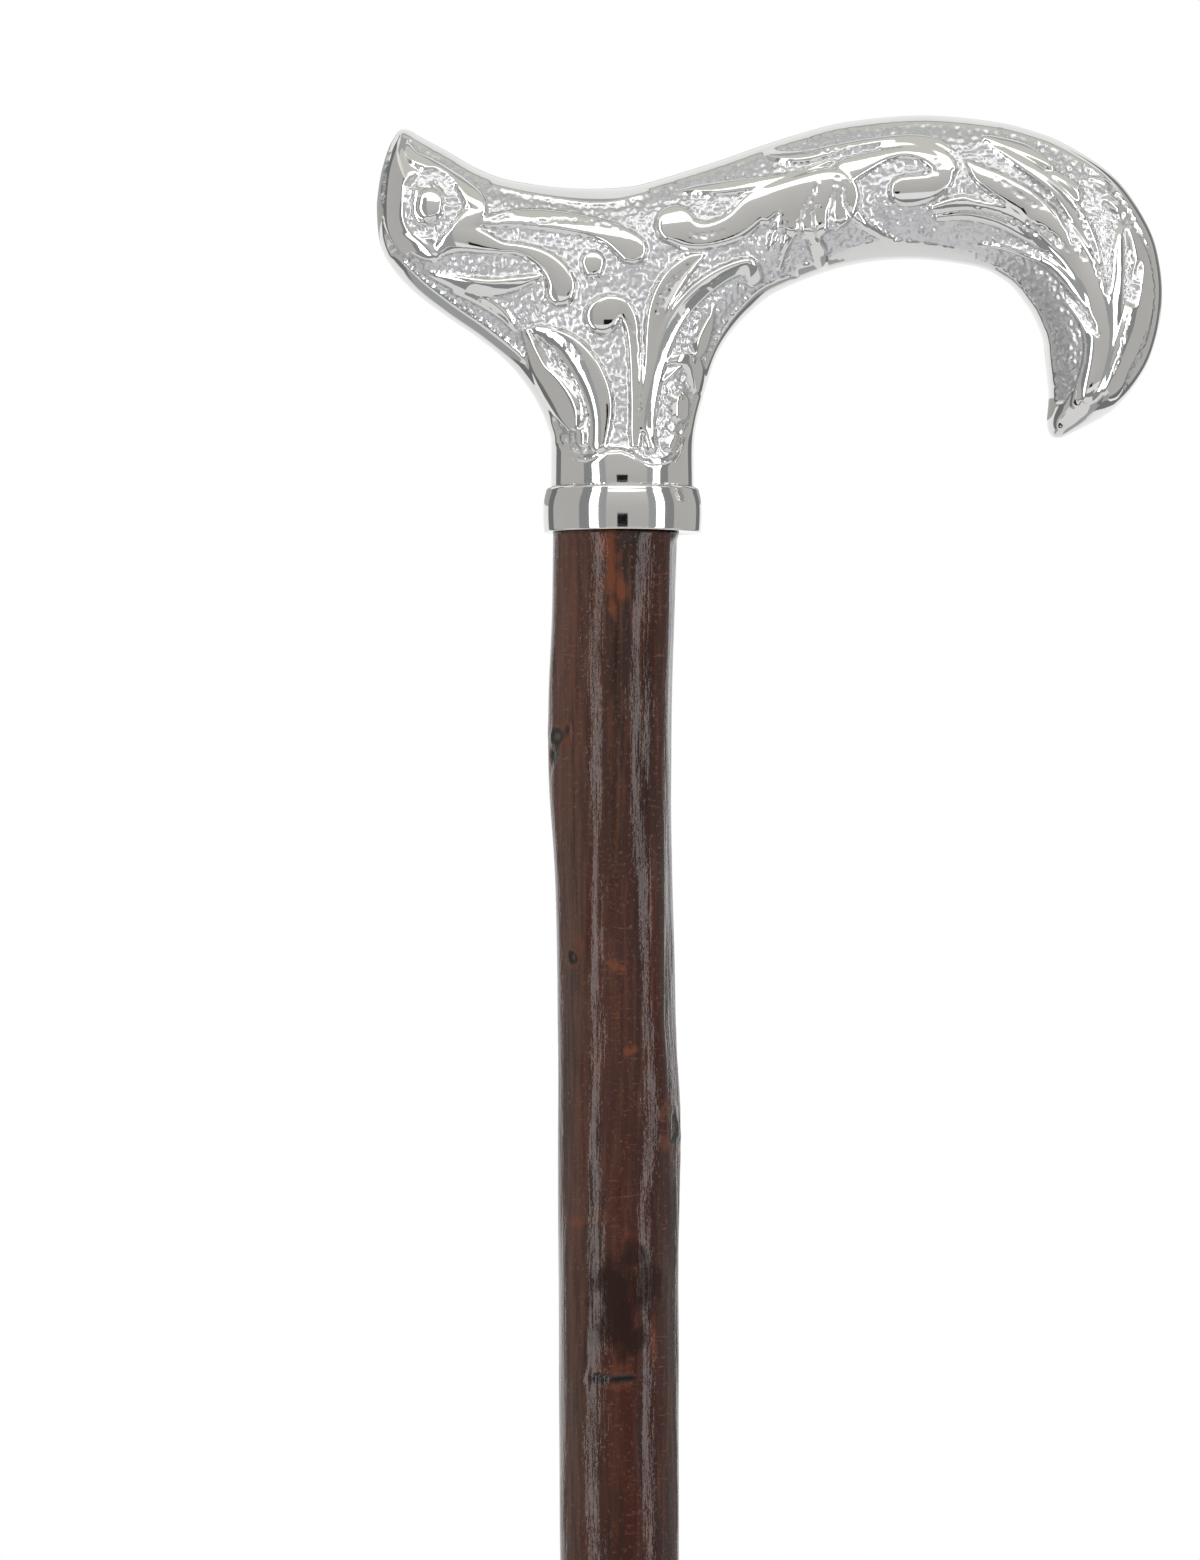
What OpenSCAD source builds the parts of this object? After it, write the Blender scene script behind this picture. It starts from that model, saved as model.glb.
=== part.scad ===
// Derby-handled walking stick: a cast, plated handle and collar on a bark-on wooden shaft.
// Millimetres, +Z up the shaft, +X towards the tail of the handle, origin under the ferrule.

/* [Handle] */
// Length of the handle from the nose to the back of the tail
handle_length = 131; // [118:0.5:144]
// Height of the handle from its seat on the collar to the crown
handle_height = 62; // [56:0.5:68]
// How far the nose reaches forward of the shaft's axis
nose_reach = 41; // [37:0.5:45]
// Thickness of the grip across the palm
grip_thickness = 24.5; // [20:0.5:28]
// Diameter of the neck where it sits on the collar
neck_diameter = 23.8; // [22:0.2:26]

/* [Collar] */
// Largest diameter of the collar, at the middle of its barrel
collar_diameter = 26.5; // [24:0.1:30]
// Height of the collar
collar_height = 7.5; // [5:0.1:12]
// How far the barrel of the collar swells beyond its ends
collar_swell = 0.5; // [0.2:0.1:1]
// Radius of the rounded edges of the collar
collar_edge = 0.8; // [0.4:0.1:1.5]

/* [Shaft] */
// Height of the shaft's shoulder, under the collar, above the floor
shoulder_height = 850; // [700:5:950]
// Diameter of the shaft under the collar
shaft_top_diameter = 21; // [19:0.1:22]
// Diameter of the shaft just above the ferrule
shaft_low_diameter = 18.8; // [18.4:0.1:20]
// How far the natural crook carries the shaft off its axis
crook = 2; // [0:0.1:4]
// How far a healed knot stands out of the bark
knot_height = 0.9; // [0:0.1:2]
// Length of the swelling round a knot
knot_length = 17; // [8:1:30]
// Distance between the sections of the shaft
section_pitch = 14; // [10:1:25]

/* [Joint] */
// Diameter of the turned tenon on top of the shaft
tenon_diameter = 16; // [14:0.5:18]
// Height of the tenon above the shoulder
tenon_length = 30; // [22:1:36]
// Diameter of the steel stud down the middle of the tenon
stud_diameter = 8; // [5:0.5:10]
// How deep the stud goes below the shoulder
stud_depth = 45; // [25:1:80]
// How far the stud stands above the tenon, into the handle
stud_rise = 14; // [8:1:16]
// Chamfer on the ends of the stud and the tenon
end_chamfer = 1; // [0.5:0.1:1.5]

/* [Ferrule] */
// Height of the rubber ferrule
ferrule_height = 44; // [36:1:56]
// Diameter of the ferrule's foot
foot_diameter = 34; // [30:0.5:40]
// Height of the ferrule's foot up to where it starts to narrow
foot_height = 7; // [5:0.5:10]
// Diameter of the trimmed tip of the shaft inside the ferrule
tip_diameter = 18; // [17:0.1:18.2]
// Thickness of the ferrule's wall at its mouth
ferrule_wall = 3; // [2:0.1:5]
// Thickness of rubber under the steel washer
sole_thickness = 8; // [6:0.5:12]
// Thickness of the steel washer
washer_thickness = 1.5; // [1:0.1:3]
// Depth of the rings in the ferrule's sole
tread_depth = 1.2; // [0.5:0.1:2]
// Width of a ring in the sole, and of the chamfer round the foot
tread_width = 2; // [1.5:0.1:2.5]
// Number of rings in the sole
tread_count = 3; // [1:1:3]

/* [Hidden] */
// Clearance of a pin, a tenon or a tip in its hole, on the radius
fit_clearance = 0.05;
// How far a cut runs past the surface that it opens
overrun = 1;
// How deep one solid is rooted in another of the same piece
root_depth = 12;
// Sides of the handle's and the shaft's sections
handle_sides = 28;
shaft_sides = 20;
// Sections between two stations of a curve
beam_steps = 3;
neck_steps = 2;

neck_radius = neck_diameter / 2;
tenon_radius = tenon_diameter / 2;
stud_radius = stud_diameter / 2;
tip_radius = tip_diameter / 2;
seat_height = shoulder_height + collar_height;
tip_bottom = sole_thickness + washer_thickness;
bark_bottom = ferrule_height;

// The crown of the handle from the nose, over the palm, to the tip of the tail:
// shares of the length behind the nose, and of the height above the seat
crown_shares = [
  [0, 0.77], [0.006, 0.86], [0.03, 0.964], [0.075, 0.923], [0.145, 0.848],
  [0.225, 0.81], [0.32, 0.808], [0.41, 0.864], [0.505, 0.93], [0.60, 0.982],
  [0.695, 1], [0.785, 0.982], [0.868, 0.928], [0.937, 0.835], [0.982, 0.695],
  [1, 0.53], [0.988, 0.36], [0.947, 0.22], [0.895, 0.15], [0.87, 0.136]
];
// The underside, with the same number of stations. Its middle stretch lies inside the neck.
under_shares = [
  [0, 0.71], [0.006, 0.65], [0.024, 0.575], [0.062, 0.5], [0.125, 0.44],
  [0.225, 0.34], [0.33, 0.33], [0.435, 0.45], [0.535, 0.55], [0.61, 0.603],
  [0.682, 0.617], [0.75, 0.602], [0.795, 0.566], [0.826, 0.50], [0.844, 0.427],
  [0.852, 0.34], [0.854, 0.26], [0.853, 0.192], [0.856, 0.152], [0.862, 0.136]
];
// The thickness of the handle at those stations, as shares of the grip's thickness
girth_shares = [
  0.15, 0.35, 0.62, 0.84, 0.95,
  1, 1, 1, 1, 1,
  1, 1, 0.98, 0.95, 0.88,
  0.79, 0.65, 0.45, 0.24, 0.08
];
// Stations of the underside where the neck's flare runs out, before and behind the shaft
front_landing = 3;
back_landing = 8;
// The flares of the neck: shares of the way from the neck out to the landing, and up to it
front_flare_shares = [[0, 0], [0, 0.22], [0.06, 0.41], [0.24, 0.61], [0.56, 0.81], [0.8, 0.91], [1, 1]];
back_flare_shares = [[0, 0], [0, 0.2], [0.05, 0.38], [0.16, 0.56], [0.36, 0.75], [0.66, 0.9], [1, 1]];
// The thickness of the neck up those flares: shares of the way from the neck's to the grip's
neck_girth_shares = [0, 0, 0.2, 0.4, 0.5, 0.5, 0.4];

// The crook of the shaft: share of the way up, then shares of the crook towards +X and +Y
crook_shares = [
  [0, 0, 0], [0.1, 0.25, -0.2], [0.25, 0.6, 0.3], [0.42, -0.35, 0.7], [0.56, -0.8, 0.1],
  [0.7, -0.2, -0.5], [0.8, -0.27, -0.2], [0.88, -0.46, 0.1], [0.92, -0.55, 0.15],
  [0.96, -0.78, 0.2], [1, -0.54, 0]
];
// The taper of the shaft: share of the way up, then share of the way to the top diameter
taper_shares = [
  [0, 0], [0.3, 0.25], [0.55, 0.4], [0.8, 0.48], [0.9, 0.42], [0.94, 0.5], [0.97, 0.72], [1, 1]
];
// Healed knots: share of the way up the bark, and share of a turn from +X towards +Y
knot_shares = [
  [0.09, 0.36], [0.17, 0.9], [0.26, 0.15], [0.37, 0.62], [0.46, 0.02],
  [0.55, 0.41], [0.64, 0.78], [0.715, 0.28], [0.845, 0.78], [0.878, 0.98], [0.956, 0.53]
];
// How far round the shaft a knot's swelling spreads, as a share of a turn
knot_spread_share = 0.11;

plated = [0.8, 0.8, 0.81];
steel = [0.55, 0.56, 0.58];
bark = [0.24, 0.14, 0.11];
rubber = [0.09, 0.09, 0.09];

// Point at span t of a smooth curve through points
function curve_at(points, t) =
  let (
    last = len(points) - 1,
    i = min(floor(t), last - 1),
    f = t - i,
    a = points[max(i - 1, 0)],
    b = points[i],
    c = points[i + 1],
    d = points[min(i + 2, last)]
  )
  b + (c - a) * f / 2 + (2 * a - 5 * b + 4 * c - d) * f * f / 2 + (3 * b - a - 3 * c + d) * f * f * f / 2;

// Points along that curve, with so many steps from one station to the next
function curve(points, steps) =
  [for (i = [0 : steps * (len(points) - 1)]) curve_at(points, i / steps)];

// Value at x of the smooth curve through a table of [x, value, value...] rows
function table_at(rows, x) =
  let (i = max([0, for (k = [0 : len(rows) - 2]) if (rows[k][0] <= x) k]))
  curve_at(rows, i + (x - rows[i][0]) / (rows[i + 1][0] - rows[i][0]));

// Elliptical section in the plane of the Y axis and the line from p to q, which are [x, z] points
function section(p, q, thickness) = [
  for (k = [0 : handle_sides - 1])
    let (
      turn = 360 * k / handle_sides,
      middle = (p + q) / 2,
      at = middle + (q - p) / 2 * cos(turn)
    )
    [at.x, thickness / 2 * sin(turn), at.y]
];

// Closed skin over a row of sections that all have the same number of points
module skin(sections) {
  sides = len(sections[0]);
  last = len(sections) - 1;
  polyhedron(
    points = [for (s = sections) each s],
    faces = concat(
      [[for (k = [0 : sides - 1]) k]],
      [for (i = [0 : last - 1], k = [0 : sides - 1]) each let (
          near = i * sides + k,
          beside = i * sides + (k + 1) % sides
        ) [[near, near + sides, beside], [beside, near + sides, beside + sides]]],
      [[for (k = [sides - 1 : -1 : 0]) last * sides + k]]
    )
  );
}

// Place in the handle of a station given in shares, as [x, z]
function in_handle(share) =
  [share.x * handle_length - nose_reach, seat_height + share.y * handle_height];

// Cylinder with both its ends chamfered
module chamfered_rod(radius, length, chamfer) {
  rotate_extrude($fn = 64)
    polygon([
      [0, 0], [radius - chamfer, 0], [radius, chamfer],
      [radius, length - chamfer], [radius - chamfer, length], [0, length]
    ]);
}

// The curved grip, from the nose to the tip of the tail
module beam() {
  crown = curve([for (s = crown_shares) in_handle(s)], beam_steps);
  under = curve([for (s = under_shares) in_handle(s)], beam_steps);
  girth = curve(girth_shares * grip_thickness, beam_steps);
  skin([for (i = [0 : len(girth) - 1]) section(crown[i], under[i], girth[i])]);
}

// The neck, round on its seat and flared out into the grip before and behind
module neck() {
  front = in_handle(under_shares[front_landing]);
  back = in_handle(under_shares[back_landing]);
  front_side = curve([
    for (s = front_flare_shares)
      [-neck_radius + s.x * (front.x + neck_radius), seat_height + s.y * (front.y - seat_height)]
  ], neck_steps);
  back_side = curve([
    for (s = back_flare_shares)
      [neck_radius + s.x * (back.x - neck_radius), seat_height + s.y * (back.y - seat_height)]
  ], neck_steps);
  girth = curve([
    for (s = neck_girth_shares) neck_diameter + s * (grip_thickness - neck_diameter)
  ], neck_steps);
  skin([for (i = [0 : len(girth) - 1]) section(front_side[i], back_side[i], girth[i])]);
}

module handle() {
  color(plated)
    difference() {
      union() {
        beam();
        neck();
      }
      translate([0, 0, shoulder_height])
        cylinder(r = tenon_radius + fit_clearance, h = tenon_length, $fn = 64);
      translate([0, 0, shoulder_height])
        cylinder(r = stud_radius + fit_clearance, h = tenon_length + stud_rise, $fn = 48);
    }
}

module collar() {
  middle = collar_diameter / 2;
  end = middle - collar_swell;
  rim = end - collar_edge;
  bore = tenon_radius + fit_clearance;
  arc_steps = 8;
  color(plated)
    translate([0, 0, shoulder_height])
      rotate_extrude($fn = 96)
        polygon(concat(
          [[bore, 0], [rim, 0]],
          [for (i = [0 : arc_steps]) let (up = i / arc_steps)
            [end + collar_swell * (1 - pow(2 * up - 1, 2)),
              collar_edge + up * (collar_height - 2 * collar_edge)]],
          [[rim, collar_height], [bore, collar_height]]
        ));
}

module stud() {
  color(steel)
    translate([0, 0, shoulder_height - stud_depth])
      chamfered_rod(stud_radius, stud_depth + tenon_length + stud_rise, end_chamfer);
}

// Outward swelling of the bark by its knots, at a height and a turn round the shaft
function knot_swelling(height, turn) =
  let (climb = shoulder_height - bark_bottom)
  knot_height * max([0, for (k = knot_shares)
    let (
      along = (height - bark_bottom - k[0] * climb) / knot_length,
      apart = abs(turn - k[1]),
      round = min(apart, 1 - apart) / knot_spread_share
    )
    exp(-along * along - round * round)]);

// Section of the bark at a share of the way from the ferrule up to the shoulder
function bark_section(up) =
  let (
    height = bark_bottom + up * (shoulder_height - bark_bottom),
    bend = table_at(crook_shares, up) * crook,
    wide = table_at(taper_shares, up)[1],
    radius = (shaft_low_diameter + wide * (shaft_top_diameter - shaft_low_diameter)) / 2
  )
  [for (k = [0 : shaft_sides - 1])
    let (turn = k / shaft_sides, r = radius + knot_swelling(height, turn))
    [bend[1] + r * cos(360 * turn), bend[2] + r * sin(360 * turn), height]];

module bark_stick() {
  sections = ceil((shoulder_height - bark_bottom) / section_pitch);
  skin([for (i = [0 : sections]) bark_section(i / sections)]);
}

module shaft() {
  color(bark)
    difference() {
      union() {
        bark_stick();
        translate([0, 0, shoulder_height - root_depth])
          chamfered_rod(tenon_radius, root_depth + tenon_length, end_chamfer);
        translate([0, 0, tip_bottom])
          chamfered_rod(tip_radius, bark_bottom - tip_bottom + root_depth, end_chamfer);
      }
      translate([0, 0, shoulder_height - stud_depth])
        cylinder(r = stud_radius + fit_clearance, h = stud_depth + tenon_length + overrun, $fn = 48);
    }
}

module ferrule() {
  foot = foot_diameter / 2;
  bore = tip_radius + fit_clearance;
  mouth = bore + ferrule_wall;
  lip = ferrule_wall / 2;
  tread_pitch = foot / (tread_count + 1);
  color(rubber)
    difference() {
      rotate_extrude($fn = 96)
        polygon([
          [0, 0], [foot - tread_width / 2, 0], [foot, tread_width / 2], [foot, foot_height],
          [mouth + lip, foot_height + (foot - mouth - lip)],
          [mouth, ferrule_height - 2 * lip], [mouth + lip / 2, ferrule_height - 2 * lip],
          [mouth + lip / 2, ferrule_height - lip], [mouth, ferrule_height], [0, ferrule_height]
        ]);
      translate([0, 0, sole_thickness])
        cylinder(r = bore, h = ferrule_height, $fn = 64);
      for (i = [1 : tread_count])
        translate([0, 0, -overrun])
          difference() {
            cylinder(r = i * tread_pitch + tread_width / 2, h = tread_depth + overrun, $fn = 64);
            cylinder(r = i * tread_pitch - tread_width / 2, h = tread_depth + overrun, $fn = 64);
          }
    }
}

module ferrule_washer() {
  color(steel)
    translate([0, 0, sole_thickness])
      chamfered_rod(tip_radius, washer_thickness, washer_thickness / 4);
}

handle();
collar();
stud();
shaft();
ferrule();
ferrule_washer();
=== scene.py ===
"""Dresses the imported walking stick: plated handle with leaf relief, collar, bark-on shaft and ferrule."""

import math

import bpy
import numpy as np
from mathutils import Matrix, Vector, noise


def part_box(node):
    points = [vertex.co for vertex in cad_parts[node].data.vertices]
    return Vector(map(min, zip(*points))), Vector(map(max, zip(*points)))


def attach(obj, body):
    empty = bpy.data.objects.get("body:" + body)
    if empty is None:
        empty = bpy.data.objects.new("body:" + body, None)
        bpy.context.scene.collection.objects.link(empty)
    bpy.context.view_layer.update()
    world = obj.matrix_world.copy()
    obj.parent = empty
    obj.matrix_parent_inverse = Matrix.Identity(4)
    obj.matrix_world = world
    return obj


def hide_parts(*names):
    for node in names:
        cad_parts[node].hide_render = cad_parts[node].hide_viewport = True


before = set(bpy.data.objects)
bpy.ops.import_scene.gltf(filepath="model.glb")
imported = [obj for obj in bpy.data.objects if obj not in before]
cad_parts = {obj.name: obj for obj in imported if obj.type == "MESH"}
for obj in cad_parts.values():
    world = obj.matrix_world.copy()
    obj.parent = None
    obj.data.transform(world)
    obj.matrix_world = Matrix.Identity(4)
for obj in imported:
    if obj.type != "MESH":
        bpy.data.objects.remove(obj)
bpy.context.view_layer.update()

# Units, and how the photograph lies on the stick
MM = 0.001
PX_PER_MM = 6.0
AXIS_PX = 622.5
SEAT_PX = 488.0
PHOTO_WIDE_PX = 1200.0
PHOTO_HIGH_PX = 1560.0
CAMERA_DISTANCE = 800.0
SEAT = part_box("collar")[1].z / MM
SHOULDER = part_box("collar")[0].z / MM
VIEW_X = (PHOTO_WIDE_PX / 2 - AXIS_PX) / PX_PER_MM
VIEW_Z = SEAT + (SEAT_PX - PHOTO_HIGH_PX / 2) / PX_PER_MM

# Handle: most half thickness, and how far and how high the neck may pass it
GRIP_HALF = 12.5
NECK_SPARE = 1.2
NECK_SPARE_HIGH = 9.0
LIMIT_BEND = 8
# The neck draws in a little just above the collar
SEAT_TUCK_SHARE = 0.022
SEAT_TUCK_HIGH = 2.4
# Socket for tenon and stud, and the squared depth of a point that belongs to it
SOCKET_RADIUS = 8.05
SOCKET_TOP = 22.5
STUD_HOLE_RADIUS = 4.05
STUD_HOLE_TOP = 36.5
SOCKET_DEPTH = 12.0
# The handle's mesh: its step, spare cells about it, and rounds of shaping
HANDLE_STEP = 0.3
SPARE_CELLS = 5
FILM_ROUNDS = 900
RELAX_ROUNDS = 8
SEEK_ROUNDS = 3
# Depths between which the film's slope is read, its blur, and where the film takes over
STEADY_LOW = 0.8
STEADY_HIGH = 2.2
STEADY_BLUR = 1.2
STEADY_END = 2.0

# Relief: its part of the photograph, and the steps between rows
RELIEF_LOW_PX = (360.0, 104.0)
RELIEF_SIZE_PX = (816, 392)
STROKE_STEPS = 12
OUTLINE_STEPS = 8
NECK_EDGE_STEPS = 6
# How far past its edge a stroke's disc is worked out
DISC_SHARE = 1.2
DISC_SPARE_PX = 2
# Depth of the ground, and the leaves' round edge and dome, which leans to the middle of the body
GROUND_DEPTH = 0.6
EDGE_PX = 2.2
EDGE_SHARE = 0.17
FULL_LEAF_PX = 5.0
DOME_SHARE = 0.22
LEAN_SHARE = 0.5
LEAN_BLUR_PX = 14
COVER_SHARES = (0.9, 1.1)
# Plain rim, the slope inside it, and the lip where the relief stops
RIM_PX = 4.5
SHOULDER_PX = 4.0
LIP_PX = 2.6
LIP_RAISE_PX = 2
# Squared shares of the half width that are level, and the half width of a full hollow
PLAIN_SHARE = 0.55
HOLLOW_SHARE = 0.35
FULL_HOLLOW_PX = 4
# Softness of swellings and relief, and the ground's grain
SWELL_BLUR_PX = 3
RELIEF_BLUR_PX = 0.8
GRAIN_PX = 1.3
STIPPLE_HEIGHT = 0.12
SEED = 7

# Outline of the handle in the photograph, clockwise from the nose, run on below the seat
OUTLINE_PX = [
    (404, 129.6), (412, 132), (420, 137), (447.5, 152), (475, 168), (502, 179), (530, 184.5), (557, 188),
    (589, 189.5), (624, 188), (644, 184.5), (686, 172), (723, 160), (760, 147), (798, 135), (845, 123),
    (920, 116.2), (991, 122), (1036, 133), (1065, 145), (1102, 168), (1126, 192), (1149, 230),
    (1158.5, 262), (1161.5, 298), (1156, 338), (1142, 374), (1113, 410), (1070, 434), (1057, 438),
    (1050, 434), (1047, 422), (1049, 398), (1046, 362), (1043, 338), (1033, 314), (1025, 302), (1016, 290),
    (1002, 278), (975, 266), (910.5, 258.8), (845, 266), (780, 290), (748, 314), (727, 338), (714, 362),
    (703, 398), (697, 422), (694, 446), (694, 488), (694, 560), (694, 620), (551, 620), (551, 560),
    (551, 488), (551, 446), (550, 434), (541, 410), (527, 386), (507, 362), (478, 338), (443, 314),
    (412, 290), (391, 266), (380, 242), (377, 212), (378, 194), (382, 170), (389, 148), (395, 137),
    (399, 131.5),
]

# Places where the body is fuller than a blown film, or leaner: x, y, share and reach
FULLER_PX = [
    (404, 134, 2.0, 30), (388, 175, 1.5, 25), (390, 225, 4.0, 22), (500, 215, 0.8, 50),
    (560, 225, -0.8, 50), (620, 225, 0.5, 50), (545, 310, -0.9, 50), (606, 300, -0.5, 60),
    (665, 310, -0.6, 50), (800, 190, 0.3, 80), (808, 240, 0.6, 32), (842, 228, 0.6, 30),
    (900, 185, -0.2, 80), (1070, 250, -0.7, 55), (1045, 285, 0.8, 30), (1062, 320, 0.8, 30),
    (1096, 362, 1.2, 45), (1082, 408, 8.0, 26),
]

# Leaves and scrolls of the relief: rows of x, y and half width in the photograph's pixels
LEAVES_PX = [
    # Nose: eye, brow, cheek and the lid between them
    [(430, 201, 14), (429, 207, 14)],
    [(407, 146, 5), (414, 157, 8), (428, 163, 8), (444, 172, 8), (460, 184, 9.5), (473, 197, 11),
     (480, 206, 8)],
    [(400, 234, 4), (410, 243, 8), (424, 250, 9.5), (437, 257, 5)],
    [(479, 209, 9), (470, 220, 12), (460, 230, 13)],
    # Scroll behind the eye, the leaf over it and the leaves under it
    [(440, 250, 8), (452, 241, 13), (464, 237, 16), (480, 241, 13), (500, 247, 8), (520, 249, 7),
     (538, 256, 10), (553, 268, 12.5), (561, 283, 15), (560, 292, 15)],
    [(470, 228, 2), (485, 222, 6), (510, 218, 9), (540, 218, 11), (575, 223, 11.5), (605, 231, 12),
     (625, 243, 15), (632, 249, 16)],
    [(420, 273, 2), (440, 279, 6), (465, 286, 10), (490, 288, 10), (515, 284, 8), (542, 276, 3)],
    [(453, 292, 4), (472, 297, 7), (492, 307, 8), (506, 319, 6), (513, 331, 3)],
    [(592.5, 262, 13), (593, 268, 11)],
    # Neck: the curl and its stem, the two leaves on its right, the leaves on its left
    [(602, 316, 19), (609, 309, 16), (620, 308, 12), (629, 318, 9), (633, 335, 7.5), (635, 365, 7),
     (636, 400, 7), (636, 430, 7), (636, 444, 6)],
    [(700, 256, 5), (690, 262, 9), (677, 275, 12), (667, 290, 13), (659, 308, 12), (655, 330, 11),
     (652, 360, 9), (649, 395, 9), (646, 428, 8)],
    [(754, 279, 10), (750, 268, 10), (736, 269, 9), (716, 279, 10), (697, 294, 11), (681, 312, 11),
     (668, 335, 11), (660, 360, 10), (653, 390, 9), (649, 420, 8), (653, 446, 6)],
    [(535, 330, 5), (551, 337, 10.5), (567, 347, 14.5), (582, 364, 16.5), (593, 384, 16.5), (599, 403, 15),
     (600, 422, 12.5), (597, 442, 11)],
    [(527, 334, 7), (532, 350, 8), (541, 372, 11), (554, 390, 16), (566, 408, 16), (572, 424, 9)],
    [(581, 434, 7), (581, 441, 7)],
    [(682, 402, 9.5), (682, 414, 9.5)],
    [(668, 362, 4), (680, 359, 7), (693, 362, 9), (698, 375, 9), (699, 390, 6)],
    [(656, 390, 2.5), (664, 380, 4), (675, 371, 4), (688, 367, 2.5)],
    [(713, 311, 3), (708, 325, 7), (703, 340, 9), (700, 352, 7)],
    [(676, 436, 5), (671, 446, 6)],
    # The great scroll over the palm, its head and its fronds
    [(675, 224, 21), (688, 233, 17), (708, 235, 14.5), (735, 226, 16), (760, 205, 19), (780, 206, 26),
     (798, 206, 31), (816, 203, 33), (830, 198, 31), (837, 194, 25)],
    [(848, 170, 14), (870, 160, 10), (887, 154, 7), (906, 151, 6.5), (925, 154, 9), (940, 165, 11),
     (942, 176, 13), (930, 186, 15), (915, 190, 17), (905, 191, 17)],
    [(880, 146, 2.5), (895, 142, 4), (912, 142, 5), (930, 147, 6), (946, 157, 6), (953, 168, 5)],
    [(780, 220, 8), (774, 236, 5), (770, 251, 3)],
    [(792, 220, 10), (788, 236, 6.5), (784, 250, 4.5), (780, 270, 3)],
    [(807, 220, 7), (808, 236, 5)],
    [(820, 218, 7), (820, 235, 4)],
    [(809, 232, 3), (815, 244, 8), (820, 256, 9), (822, 265, 6)],
    [(850, 196, 10), (854, 212, 7), (866, 226, 6), (882, 237, 5), (896, 244, 3)],
    # Tail: the strand along the crown, the hooks beside it, the long strands and those inside the hook
    [(985, 136, 4), (1004, 142, 6.5), (1024, 149, 8), (1042, 158, 7.5), (1052, 166, 5)],
    [(1046, 172, 3), (1060, 178, 6), (1074, 188, 7), (1079, 198, 4)],
    [(1092, 177, 3), (1103, 184, 6), (1111, 193, 5)],
    [(1108, 199, 5), (1117, 205, 7), (1125, 213, 4)],
    [(990, 143, 2.5), (1010, 155, 6), (1030, 168, 8), (1050, 184, 8.5), (1068, 203, 9), (1082, 223, 9),
     (1093, 245, 7), (1099, 265, 4)],
    [(966, 162, 4), (978, 172, 9), (1000, 186, 14), (1025, 203, 16), (1050, 223, 15), (1072, 246, 14),
     (1088, 272, 14), (1098, 300, 14), (1101, 335, 14), (1097, 368, 13), (1088, 396, 10)],
    [(935, 209, 6), (955, 204, 8), (976, 203, 9), (1003, 210, 10), (1035, 229, 11), (1062, 252, 11),
     (1082, 278, 11), (1095, 305, 9)],
    [(938, 218, 5), (968, 216, 6), (998, 223, 6), (1026, 238, 5), (1046, 250, 4)],
    [(975, 248, 2), (1000, 246, 5), (1024, 253, 6), (1045, 262, 6), (1062, 276, 7), (1078, 295, 7),
     (1090, 315, 6), (1097, 331, 4)],
    [(1058, 300, 2), (1072, 309, 4), (1084, 323, 6), (1090, 342, 7.5), (1089, 362, 8), (1083, 383, 8),
     (1075, 404, 6)],
    [(1122, 216, 2), (1121, 235, 5), (1119, 258, 8), (1117, 285, 9), (1114, 312, 11), (1110, 340, 12),
     (1103, 370, 12), (1094, 396, 9)],
    [(1130, 228, 5), (1139, 250, 9), (1143, 275, 12), (1141, 305, 15), (1133, 335, 17), (1123, 365, 16),
     (1111, 390, 12)],
    # Leaves along the crown
    [(676, 188, 1.5), (705, 188, 6.5), (740, 185, 8), (775, 180, 6), (800, 172, 4), (830, 160, 3)],
    [(762, 151, 3), (780, 155, 6), (805, 155, 7), (835, 148, 6), (875, 140, 5), (910, 137, 5),
     (935, 141, 5), (952, 150, 3)],
]

# Bevelled sides of the two large neck leaves: depth in millimetres, and the stroke along the edge
BEVELS_PX = [
    (0.2, [(706, 297, 11), (690, 312, 12), (678, 327, 12), (672, 340, 12), (668, 352, 11), (666, 363, 11),
           (662, 377, 10), (659, 389, 10), (655, 402, 9), (652, 415, 8), (651, 427, 7), (656, 440, 6)]),
    (0.1, [(552, 351, 9), (568, 374, 10), (579, 390, 10), (585, 405, 9), (588, 422, 8), (588, 440, 7)]),
]

# Plain stretches level with the rim: saddle, nose, chin, behind the neck, arch, and the tail's tip
PLAINS_PX = [
    [(495, 182, 5), (540, 190, 7), (600, 198, 7), (645, 190, 5)],
    [(402, 138, 7), (401, 152, 10), (396, 170, 11), (392, 190, 11), (392, 212, 12), (396, 232, 11),
     (405, 248, 10)],
    [(404, 150, 12), (404, 170, 16), (403, 192, 18), (406, 214, 20), (414, 234, 18), (428, 248, 13)],
    [(430, 172, 10), (450, 187, 12), (468, 206, 14), (462, 224, 13), (450, 238, 11)],
    [(395, 262, 8), (420, 287, 9), (450, 310, 9), (485, 335, 10), (515, 360, 10), (535, 388, 10),
     (546, 418, 8)],
    [(790, 284, 9), (765, 298, 12), (742, 322, 12), (722, 350, 10), (711, 382, 8), (702, 412, 6)],
    [(800, 272, 6), (830, 264, 6), (860, 254, 9), (885, 250, 10), (905, 250, 9), (940, 254, 8),
     (970, 260, 8)],
    [(1098, 388, 22), (1086, 404, 24), (1068, 420, 16)],
]

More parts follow.
